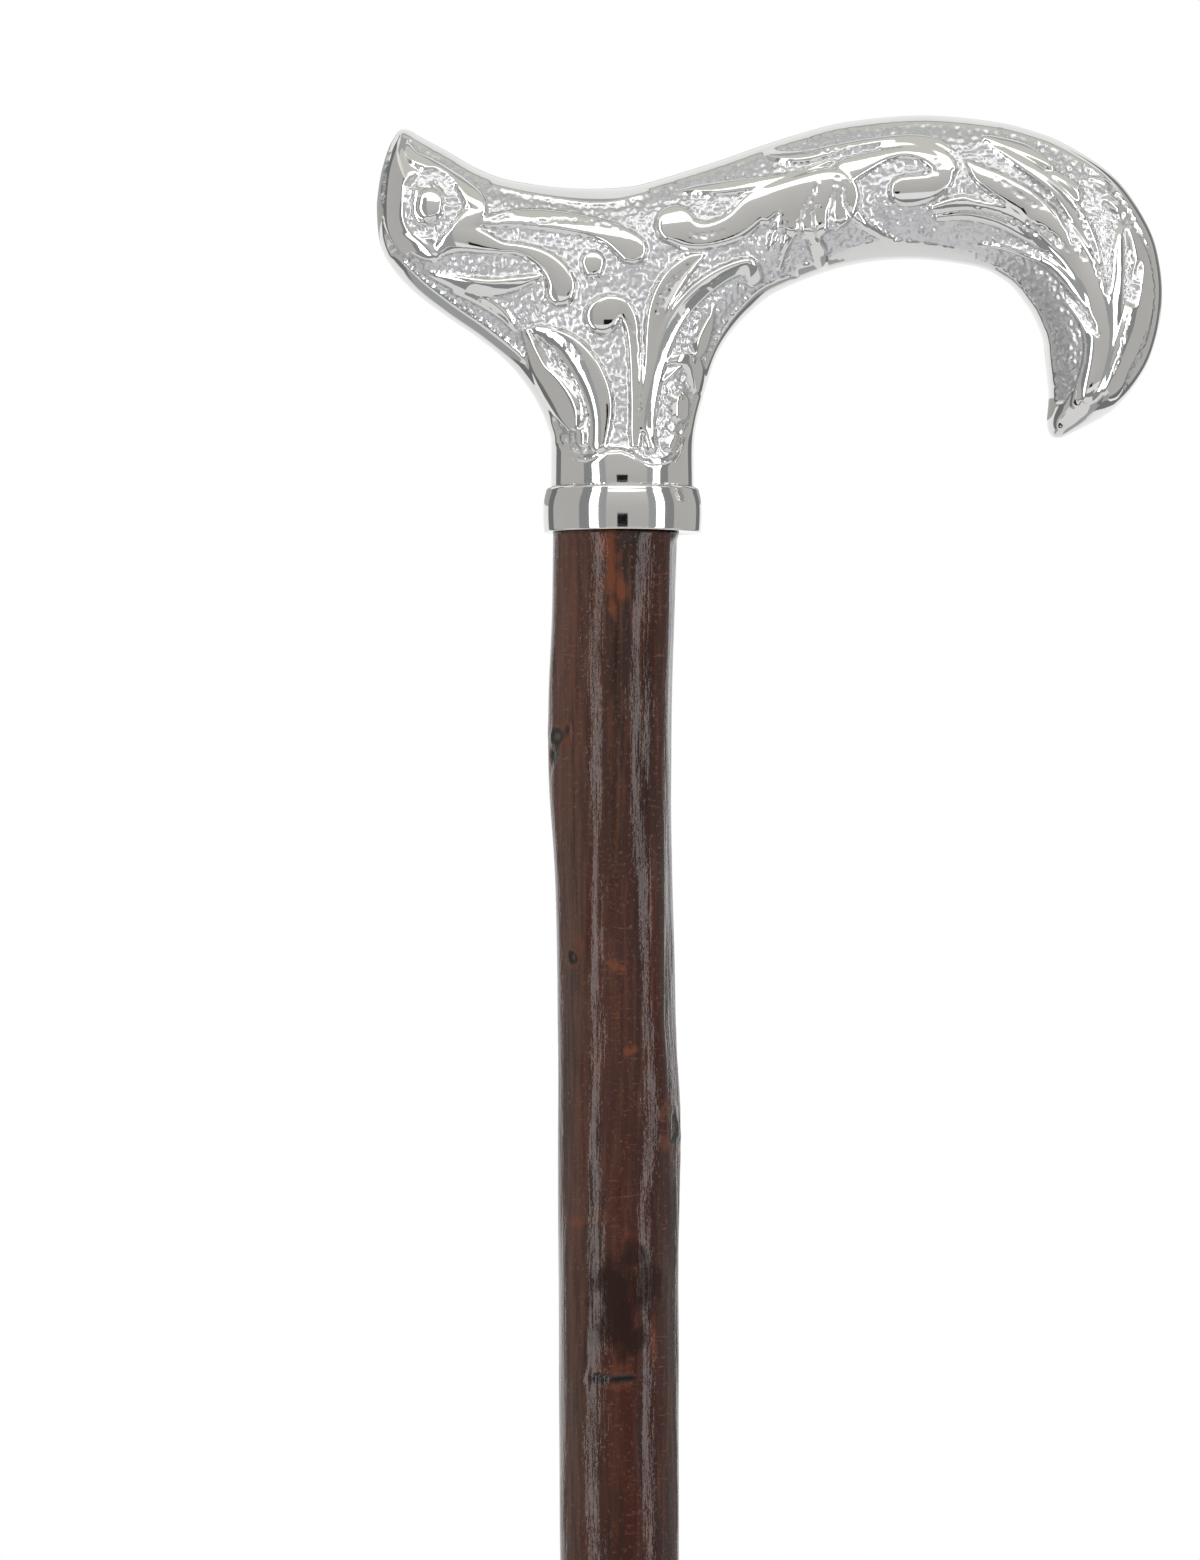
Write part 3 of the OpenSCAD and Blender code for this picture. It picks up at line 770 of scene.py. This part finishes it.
def lathe(name, profile, segments, material):
    """Closed ring of revolution from a closed profile of radius and height."""
    profile = np.asarray(profile, float)
    turn = 2 * math.pi * np.arange(segments) / segments
    radius = profile[:, None, 0]
    height = np.broadcast_to(profile[:, None, 1], (len(profile), segments))
    rings = np.stack([radius * np.cos(turn), radius * np.sin(turn), height], 2)
    return new_mesh(name, rings.reshape(-1, 3), ring_quads(len(profile), segments, closed=True), material)


def arc(centre, radius, start, end, steps):
    """Points on an arc of a profile, from one angle to another in degrees."""
    turns = np.radians(np.linspace(start, end, steps))
    return [(centre[0] + radius * math.cos(t), centre[1] + radius * math.sin(t)) for t in turns]


def make_collar(material):
    """Barrel-shaped ring with rounded edges."""
    low, high = (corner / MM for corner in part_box("collar"))
    top_swell = 0.45
    top_edge = 0.8
    foot_swell = 0.14
    foot_edge = 0.35
    middle = high.x
    centre = (low.z + high.z) / 2
    top = (middle - top_swell - top_edge, high.z - top_edge)
    foot = (middle - foot_swell - foot_edge, low.z + foot_edge)
    sides = np.linspace(0, 1, 11)
    profile = [(SOCKET_RADIUS, low.z), (foot[0], low.z)]
    profile += arc(foot, foot_edge, -84, -8, 6)
    profile += [(middle - foot_swell * s * s, centre + s * (foot[1] - centre)) for s in sides[::-1]]
    profile += [(middle - top_swell * s * s, centre + s * (top[1] - centre)) for s in sides[1:]]
    profile += arc(top, top_edge, 20, 84, 8)
    profile += [(top[0], high.z), (SOCKET_RADIUS, high.z)]
    piece = lathe("collar_ring", profile, COLLAR_FACES, material)
    paint(piece, "ground", np.zeros(len(piece.data.vertices)))
    place(piece, "collar", "plated")


def bark_sections():
    """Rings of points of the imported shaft's bark, one row for each of its sections, from the ferrule up."""
    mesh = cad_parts["shaft"].data
    points = np.zeros(3 * len(mesh.vertices), np.float32)
    mesh.vertices.foreach_get("co", points)
    points = points.reshape(-1, 3).astype(float) / MM
    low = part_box("ferrule")[1].z / MM
    rings = []
    for level in np.unique(np.round(points[:, 2], 1)):
        if not low - SECTION_SLACK < level < SHOULDER + SECTION_SLACK:
            continue
        level_points = points[np.abs(points[:, 2] - level) < LEVEL_SLACK]
        middle = (level_points.max(0) + level_points.min(0)) / 2
        out = level_points - middle
        turn = np.arctan2(out[:, 1], out[:, 0]) / (2 * math.pi) * SHAFT_SIDES
        side = np.round(turn).astype(int) % SHAFT_SIDES
        reach = np.hypot(out[:, 0], out[:, 1])
        if len(np.unique(side)) < SHAFT_SIDES or reach.max() < LEAST_BARK_RADIUS:
            continue
        outer = [np.flatnonzero(side == k)[np.argmax(reach[side == k])] for k in range(SHAFT_SIDES)]
        rings.append(level_points[outer])
    return np.array(rings)


def bark_rings():
    """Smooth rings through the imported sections, closer together in the stretch that the camera sees."""
    rings = np.array([smooth_curve(ring, ROUND_STEPS, closed=True) for ring in bark_sections()])
    count, around = rings.shape[:2]
    flat = rings.reshape(count, -1)
    split = count - TOP_SECTIONS
    top = smooth_curve(flat[split:], TOP_STEPS)
    low = smooth_curve(flat[: split + 1], LOW_STEPS)[:-1]
    return np.concatenate([low, top]).reshape(-1, around, 3)


class Bark:
    """The bark's rings, with the turn from the camera's side, the radius and the way out at each point."""

    def __init__(self):
        self.rings = bark_rings()
        self.middle = self.rings.mean(1, keepdims=True)
        out = self.rings - self.middle
        out[:, :, 2] = 0
        self.radius = np.linalg.norm(out, axis=2)
        self.outward = out / self.radius[:, :, None]
        self.turn = np.arctan2(self.outward[:, :, 0], -self.outward[:, :, 1])
        self.z = self.rings[:, :, 2]
        self.low = self.z[0, 0]
        self.ragged = np.exp(RAGGED * self.ripple(RAGGED_SIZE))

    def ripple(self, size):
        """Noise over the bark, of a size along each axis."""
        values = [noise.noise(Vector(point)) for point in self.rings.reshape(-1, 3) / size]
        return np.reshape(values, self.z.shape)

    def spot(self, at_turn, at_z, half_wide, half_high):
        """1 at a place on the bark, fading to nothing about it with a ragged edge."""
        apart = np.abs((self.turn - at_turn + math.pi) % (2 * math.pi) - math.pi) * self.radius
        return np.exp(-((apart / half_wide) ** 2 + ((self.z - at_z) / half_high) ** 2) * self.ragged)

    def seen(self, px, py):
        """Turn and height of the place on the front of the bark that the camera sees at a pixel."""
        forward = 0.0
        for _ in range(SIGHT_ROUNDS):
            px_per_mm = PX_PER_MM * CAMERA_DISTANCE / (CAMERA_DISTANCE - forward)
            height = VIEW_Z + (PHOTO_HIGH_PX / 2 - py) / px_per_mm
            ring = np.argmin(np.abs(self.z[:, 0] - height))
            size = self.radius[ring].mean()
            across = (VIEW_X + (px - PHOTO_WIDE_PX / 2) / px_per_mm - self.middle[ring, 0, 0]) / size
            at_turn = math.asin(max(-MOST_ACROSS_SHARE, min(MOST_ACROSS_SHARE, across)))
            forward = size * math.cos(at_turn)
        return at_turn, height

    def marks(self, places):
        """Spots at places in the photograph, as one layer."""
        total = np.zeros(self.z.shape)
        for px, py, wide, high in places:
            total = np.maximum(total, self.spot(*self.seen(px, py), wide / PX_PER_MM, high / PX_PER_MM))
        return total

    def lift(self, knots, rough, cracks):
        """How far the skin stands out from the smooth rings."""
        ridges = self.ripple(RIDGE_SIZE)
        lift = RIDGE_HEIGHT * ridges + WAVE_HEIGHT * self.ripple(WAVE_SIZE)
        levels, turns, shares = np.array(FLAT_ROWS, float).T
        flat_turn = np.radians(np.interp(self.z, levels, turns))
        flat_share = np.interp(self.z, levels, shares)
        lift -= self.radius * (1 - flat_share / np.maximum(np.cos(self.turn - flat_turn), flat_share))
        dip = np.sin(np.clip(self.turn / math.radians(DIP_TURN), -2, 2) * math.pi / 2) ** 2
        lift -= DIP * dip * ease(DIP_LOW, DIP_HIGH, self.z)
        off = (self.turn - math.radians(SWELLING_TURN)) / math.radians(SWELLING_REACH)
        lift += SWELLING * np.exp(-(off**2)) * ease(SWELLING_TOP, SWELLING_FULL, self.z)
        lift += KNOT_HEIGHT * knots * (1 - HEART_DEPTH_SHARE * ease(HEART_SHARE, 1, knots))
        lift += ROUGH_HEIGHT * rough * ridges - CRACK_DEPTH * cracks
        return lift * ease(0, FOOT_FADE, self.z - self.low) * ease(0, TOP_FADE, SHOULDER - self.z)


def end_ring(beside, radius, height):
    """Round ring of points, turned as the ring beside it is."""
    turn = math.atan2(beside[0, 1], beside[0, 0]) + 2 * math.pi * np.arange(len(beside)) / len(beside)
    return np.stack([radius * np.cos(turn), radius * np.sin(turn), np.full(len(turn), height)], 1)


def make_shaft(material):
    """Bark-on shaft with ridges, knots and scars in its skin, a turned tenon and a trimmed tip."""
    bark = Bark()
    knots = bark.marks(KNOTS_PX)
    for share, turned in LOW_KNOT_SHARES:
        at = bark.low + share * (SHOULDER - bark.low)
        knots = np.maximum(knots, bark.spot(2 * math.pi * turned + math.pi / 2, at, *LOW_KNOT_HALVES))
    rough = bark.marks(ROUGH_PX)
    cracks = bark.marks(CRACKS_PX)
    rust = np.maximum(bark.marks(RUST_PX), FAINT_SHARE * bark.marks(FAINT_RUST_PX))
    # Painted light: marks the side, turned from the camera, that is painted paler as if lit
    painted_lit_side = np.clip(np.cos(bark.turn - math.radians(PAINTED_LIT_SIDE_TURN)), 0, 1) ** 3
    rings = bark.rings + bark.outward * bark.lift(knots, rough, cracks)[:, :, None]
    low, high = (corner.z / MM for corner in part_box("shaft"))
    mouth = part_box("ferrule")[1].z / MM
    tip = [(TIP_RADIUS - END_CHAMFER, low), (TIP_RADIUS, low + END_CHAMFER), (TIP_RADIUS, mouth)]
    tenon = [(TENON_RADIUS, SHOULDER), (TENON_RADIUS, high - END_CHAMFER)]
    tenon += [(TENON_RADIUS - END_CHAMFER, high)]
    tip_rings = [end_ring(rings[0], *row) for row in tip]
    tenon_rings = [end_ring(rings[-1], *row) for row in tenon]
    points = np.concatenate([tip_rings, rings, tenon_rings])
    levels, around = points.shape[:2]
    last = (levels - 1) * around
    ends = [list(range(around))[::-1], list(range(last, last + around))]
    piece = new_mesh("shaft_bark", points.reshape(-1, 3), ring_quads(levels, around) + ends, material)
    for face in piece.data.polygons[-len(ends):]:
        face.use_smooth = False
    layers = {"knot": knots, "rough": rough, "crack": cracks, "rust": rust, "painted_lit_side": painted_lit_side}
    for name, values in layers.items():
        paint(piece, name, np.pad(values, ((len(tip), len(tenon)), (0, 0))).ravel())
    place(piece, "shaft", "bark")


def make_ferrule(material):
    """Rubber ferrule with a splayed foot, a rolled lip and tread rings under its sole."""
    low, high = (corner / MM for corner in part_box("ferrule"))
    foot = min(high.x, high.y)
    foot_high = 6.5
    edge = 1.0
    bore = 9.05
    sole = 8.0
    tread = 1.2
    tread_half = 1.0
    side = [(14.6, 9.6), (13.2, 13), (12.5, 20), (12.2, 30)]
    neck = (12.1, high.z - 4)
    lip = (12.05, high.z - 2)
    lip_radius = 0.75
    mouth = (bore + 1.2, high.z - edge)
    outer = [(0.0, 0.0)]
    for ring in (1, 2, 3):
        inner_side = ring * foot / 4 - tread_half
        outer_side = ring * foot / 4 + tread_half
        outer += [(inner_side, 0), (inner_side, tread), (outer_side, tread), (outer_side, 0)]
    outer += arc((foot - edge, edge), edge, -90, 0, 6)
    outer += arc((foot - edge, foot_high), edge, 0, 45, 5)
    outer += [*side, neck]
    outer += arc(lip, lip_radius, -80, 80, 8)
    outer += arc(mouth, edge, 80, 180, 6)
    outer += [(bore, sole), (0.0, sole)]
    piece = lathe("ferrule_rubber", np.asarray(outer) + (0, low.z), FERRULE_FACES, material)
    place(piece, "ferrule", "rubber")


def add_node(tree, kind, values=None, **settings):
    """New shader node with its settings and inputs; an input given as a socket is linked."""
    made = tree.nodes.new(kind)
    for key, value in settings.items():
        setattr(made, key, value)
    for key, value in (values or {}).items():
        if isinstance(value, bpy.types.NodeSocket):
            tree.links.new(value, made.inputs[key])
        else:
            made.inputs[key].default_value = value
    return made


def new_material(name):
    """New material with a shader, and its tree."""
    material = bpy.data.materials.new(name)
    material.use_nodes = True
    tree = material.node_tree
    return material, tree, tree.nodes["Principled BSDF"]


def streaks(tree, stretch, detail=3.0):
    """Noise over the object, with so many waves to the metre along each axis."""
    where = add_node(tree, "ShaderNodeTexCoord").outputs["Object"]
    mapped = add_node(tree, "ShaderNodeMapping", {"Vector": where, "Scale": stretch}).outputs[0]
    inputs = {"Vector": mapped, "Scale": 1.0, "Detail": detail}
    return add_node(tree, "ShaderNodeTexNoise", inputs).outputs[0]


def height_up(tree):
    """Height of the shaded place, in metres."""
    where = add_node(tree, "ShaderNodeTexCoord").outputs["Object"]
    return add_node(tree, "ShaderNodeSeparateXYZ", {0: where}).outputs["Z"]


def ranged(tree, value, low, high, start=0.0, end=1.0):
    """A value moved from one range to another, and held inside it."""
    inputs = {"Value": value, "From Min": low, "From Max": high, "To Min": start, "To Max": end}
    return add_node(tree, "ShaderNodeMapRange", inputs).outputs[0]


def mixed(tree, share, first, second):
    """Colour between two colours."""
    return add_node(tree, "ShaderNodeMix", {0: share, 6: first, 7: second}, data_type="RGBA").outputs[2]


def maths(tree, operation, first, second):
    """Two values added or multiplied."""
    return add_node(tree, "ShaderNodeMath", {0: first, 1: second}, operation=operation).outputs[0]


def times(tree, first, second):
    """Two values multiplied."""
    return maths(tree, "MULTIPLY", first, second)


def bumped(tree, height, strength, distance):
    """Normal of a surface raised by a height."""
    inputs = {"Height": height, "Strength": strength, "Distance": distance}
    return add_node(tree, "ShaderNodeBump", inputs).outputs[0]


def painted(tree, name):
    """A number stored at each point of the piece."""
    return add_node(tree, "ShaderNodeAttribute", attribute_name=name).outputs["Fac"]


def wire(tree, shader, **sockets):
    """Links values to the shader's sockets by name, with spaces for underscores."""
    for key, value in sockets.items():
        tree.links.new(value, shader.inputs[key.replace("_", " ")])


def plated_material():
    """Bright plating: polished leaves and rim, and a fine sparkling ground between them."""
    material, tree, shader = new_material("bright_plating")
    ground = painted(tree, "ground")
    cloud = streaks(tree, (90, 90, 90))
    grain = streaks(tree, (1300, 1300, 1300), 1.0)
    colour = mixed(tree, cloud, (0.66, 0.655, 0.64, 1), (0.74, 0.735, 0.725, 1))
    colour = mixed(tree, ground, colour, (0.62, 0.62, 0.63, 1))
    rough = maths(tree, "ADD", ranged(tree, cloud, 0.3, 0.8, 0.04, 0.08), times(tree, ground, 0.29))
    normal = bumped(tree, grain, times(tree, ground, 0.35), 0.0003)
    shader.inputs["Metallic"].default_value = 1.0
    wire(tree, shader, Base_Color=colour, Roughness=rough, Normal=normal)
    return material


def bark_material():
    """Varnished bark: dark brown and red streaks, pale lenticels, rust patches, knots and scars."""
    material, tree, shader = new_material("varnished_bark")
    zones = streaks(tree, (70, 70, 9), 2.0)
    broad = streaks(tree, (260, 260, 18))
    fine = streaks(tree, (1300, 1300, 90))
    speck = streaks(tree, (1900, 1900, 1500), 2.0)
    dashes = streaks(tree, (380, 380, 2400), 1.0)
    gloss = streaks(tree, (170, 170, 75))
    # Painted light: the marked side is painted paler, broken up by the fine streaks
    painted_lit_side = times(tree, painted(tree, "painted_lit_side"), ranged(tree, fine, 0.3, 0.7, 0.15, 0.9))
    lenticel = times(tree, ranged(tree, dashes, 0.65, 0.73), ranged(tree, broad, 0.58, 0.4))
    rust = times(tree, painted(tree, "rust"), ranged(tree, fine, 0.3, 0.6, 0.3, 1))
    rough = painted(tree, "rough")
    scar = times(tree, rough, ranged(tree, fine, 0.3, 0.5, 0.35, 1))
    knot = painted(tree, "knot")
    colour = mixed(tree, ranged(tree, zones, 0.4, 0.6), BROWN, RED_BROWN)
    for share, tone in (
        (ranged(tree, broad, 0.45, 0.65), DARK_STREAK),
        (painted_lit_side, PAINTED_LIT_SIDE),
        (ranged(tree, fine, 0.5, 0.72, 0, 0.75), PALE_STREAK),
        (times(tree, lenticel, 0.6), LENTICEL),
        (ranged(tree, speck, 0.6, 0.75, 0, 0.6), SPECK),
        (ranged(tree, height_up(tree), 0.83, 0.73, 0, 0.15), LOW_SHADE),
        (ranged(tree, rust, 0.1, 0.6), RUST),
        (ranged(tree, scar, 0.1, 0.6, 0, 0.9), SCAR),
        (ranged(tree, knot, 0.12, 0.35, 0, 0.8), KNOT_RIM),
        (ranged(tree, knot, 0.35, 0.6), KNOT),
        (ranged(tree, knot, 0.82, 0.95, 0, 0.8), KNOT_HEART),
        # Painted shade: the cracks are coloured near black for the shade inside their gap
        (ranged(tree, painted(tree, "crack"), 0.3, 0.7), CRACK_SHADE),
    ):
        colour = mixed(tree, share, colour, tone)
    height = maths(tree, "ADD", times(tree, fine, 0.7), times(tree, dashes, 0.35))
    wrinkle = maths(tree, "ADD", times(tree, speck, 0.6), fine)
    wrinkle = times(tree, wrinkle, ranged(tree, gloss, 0.4, 0.65, 0.5, 1.5))
    shader.inputs["Specular IOR Level"].default_value = 0.04
    shader.inputs["Coat Weight"].default_value = 1.0
    shader.inputs["Coat IOR"].default_value = 1.37
    shader.inputs["Coat Roughness"].default_value = 0.1
    wire(
        tree,
        shader,
        Base_Color=colour,
        Roughness=ranged(tree, speck, 0.3, 0.7, 0.5, 0.7),
        Normal=bumped(tree, height, 0.6, 0.0004),
        Coat_Weight=ranged(tree, rough, 0.2, 0.6, 1, 0.35),
        Coat_Normal=bumped(tree, wrinkle, 0.25, 0.0004),
    )
    return material


def rubber_material():
    """Black moulded rubber with a dusty bloom."""
    material, tree, shader = new_material("black_rubber")
    bloom = streaks(tree, (220, 220, 220))
    grain = streaks(tree, (3000, 3000, 3000), 1.0)
    colour = mixed(tree, ranged(tree, bloom, 0.4, 0.7), (0.014, 0.014, 0.015, 1), (0.03, 0.029, 0.028, 1))
    rough = ranged(tree, bloom, 0.3, 0.7, 0.5, 0.7)
    wire(tree, shader, Base_Color=colour, Roughness=rough, Normal=bumped(tree, grain, 0.3, 0.0002))
    return material


def steel_material():
    """Turned steel of the hidden stud and washer."""
    material, tree, shader = new_material("turned_steel")
    marks = streaks(tree, (40, 40, 6000), 1.0)
    colour = mixed(tree, marks, (0.36, 0.36, 0.37, 1), (0.5, 0.5, 0.51, 1))
    rough = ranged(tree, marks, 0.2, 0.8, 0.25, 0.4)
    shader.inputs["Metallic"].default_value = 1.0
    wire(tree, shader, Base_Color=colour, Roughness=rough, Normal=bumped(tree, marks, 0.2, 0.0001))
    return material


def floor_material():
    """Pale matt floor."""
    material, tree, shader = new_material("pale_floor")
    cloud = streaks(tree, (1.5, 1.5, 1.5))
    wire(tree, shader, Base_Color=mixed(tree, cloud, (0.86, 0.86, 0.86, 1), (0.9, 0.9, 0.9, 1)))
    shader.inputs["Roughness"].default_value = 0.9
    return material


def make_floor():
    """Round pale floor under the stick."""
    turn = 2 * math.pi * np.arange(FLOOR_SIDES) / FLOOR_SIDES
    points = np.stack([FLOOR_RADIUS * np.cos(turn), FLOOR_RADIUS * np.sin(turn), 0 * turn], 1)
    floor = new_mesh("floor", points, [list(range(FLOOR_SIDES))], floor_material())


def glowing(name, colour, glow, foot_glow):
    """Material of a studio card, which shades from its glow at the ceiling down to that at its foot."""
    material, tree, _ = new_material(name)
    tree.nodes.clear()
    shade = ranged(tree, height_up(tree), WALL_LOW * MM, CEILING * MM, foot_glow, glow)
    light = add_node(tree, "ShaderNodeEmission", {"Color": (*colour, 1), "Strength": shade})
    add_node(tree, "ShaderNodeOutputMaterial", {0: light.outputs[0]})
    return material


def stage_card(name, points, quads, colour, glow, foot_glow=None):
    """A card of the studio, which shows in reflections, but not to the camera or on the floor."""
    card = new_mesh(name, points, quads, glowing(name, colour, glow, foot_glow or glow))
    card.visible_camera = False
    card.visible_diffuse = False
    card.visible_shadow = False


def wall_card(name, start, end, low, high, colour, glow, foot_glow=None):
    """Upright curved card between two angles from the camera's side."""
    count = max(int(abs(end - start) / CARD_STEP), 2)
    turns = np.radians(np.linspace(start, end, count) + STUDIO_TURN)
    columns = np.stack([WALL_RADIUS * np.sin(turns), -WALL_RADIUS * np.cos(turns)], 1)
    points = [(x, y, z) for z in (low, high) for x, y in columns]
    quads = [(k, k + 1, count + k + 1, count + k) for k in range(count - 1)]
    stage_card(name, points, quads, colour, glow, foot_glow)


def level_card(name, left, right, near, far, height, colour, glow):
    """Level card from left to right, and from one distance behind the stick to another."""
    points = [(left, near, height), (right, near, height), (right, far, height), (left, far, height)]
    stage_card(name, points, [(0, 1, 2, 3)], colour, glow)


def upright_card(name, middle, half, distance, low, high, colour, glow):
    """Flat upright card in front of the stick, square to the camera."""
    corners = ((-half, low), (half, low), (half, high), (-half, high))
    points = [(middle + across, -distance, z) for across, z in corners]
    stage_card(name, points, [(0, 1, 2, 3)], colour, glow)


def make_studio():
    """White surround, cards on the camera's side and round the flanks, two strip lights and a ceiling."""
    world = bpy.data.worlds.new("white_surround")
    bpy.context.scene.world = world
    world.use_nodes = True
    background = world.node_tree.nodes["Background"]
    background.inputs["Color"].default_value = (1, 1, 1, 1)
    background.inputs["Strength"].default_value = 1.0
    for card in MIDDLE_CARDS:
        wall_card(*card)
    for side, hand in ((-1, "left"), (1, "right")):
        for name, start, end, low, *look in SIDE_CARDS:
            wall_card(f"{hand}_{name}", side * start, side * end, low, CEILING, *look)
        for name, left, right, near, far, *look in FLOOR_CARDS:
            level_card(f"{hand}_{name}", side * left, side * right, near, far, FLOOR_CARD_HEIGHT, *look)
    for name, half, near, far, *look in CEILING_CARDS:
        level_card(name, -half, half, near, far, CEILING, *look)
    for card in UPRIGHT_CARDS:
        upright_card(*card)


def make_camera():
    """Camera at the photograph's place and height, level, with the photograph's field of view."""
    data = bpy.data.cameras.new("camera")
    camera = bpy.data.objects.new("camera", data)
    camera.location = Vector((VIEW_X, -CAMERA_DISTANCE, VIEW_Z)) * MM
    camera.rotation_euler = (math.pi / 2, 0, 0)
    data.lens = data.sensor_width * CAMERA_DISTANCE * PX_PER_MM / PHOTO_HIGH_PX
    bpy.context.scene.collection.objects.link(camera)
    bpy.context.scene.camera = camera


def dress_hidden_nodes():
    """Gives the stud and the washer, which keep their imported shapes, a turned steel."""
    steel = steel_material()
    for name in ("stud", "ferrule_washer"):
        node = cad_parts[name]
        node.data.materials.clear()
        node.data.materials.append(steel)


bpy.context.scene.view_settings.view_transform = "Standard"
make_camera()
make_studio()
make_floor()
plating = plated_material()
make_handle(plating)
make_collar(plating)
make_shaft(bark_material())
make_ferrule(rubber_material())
dress_hidden_nodes()
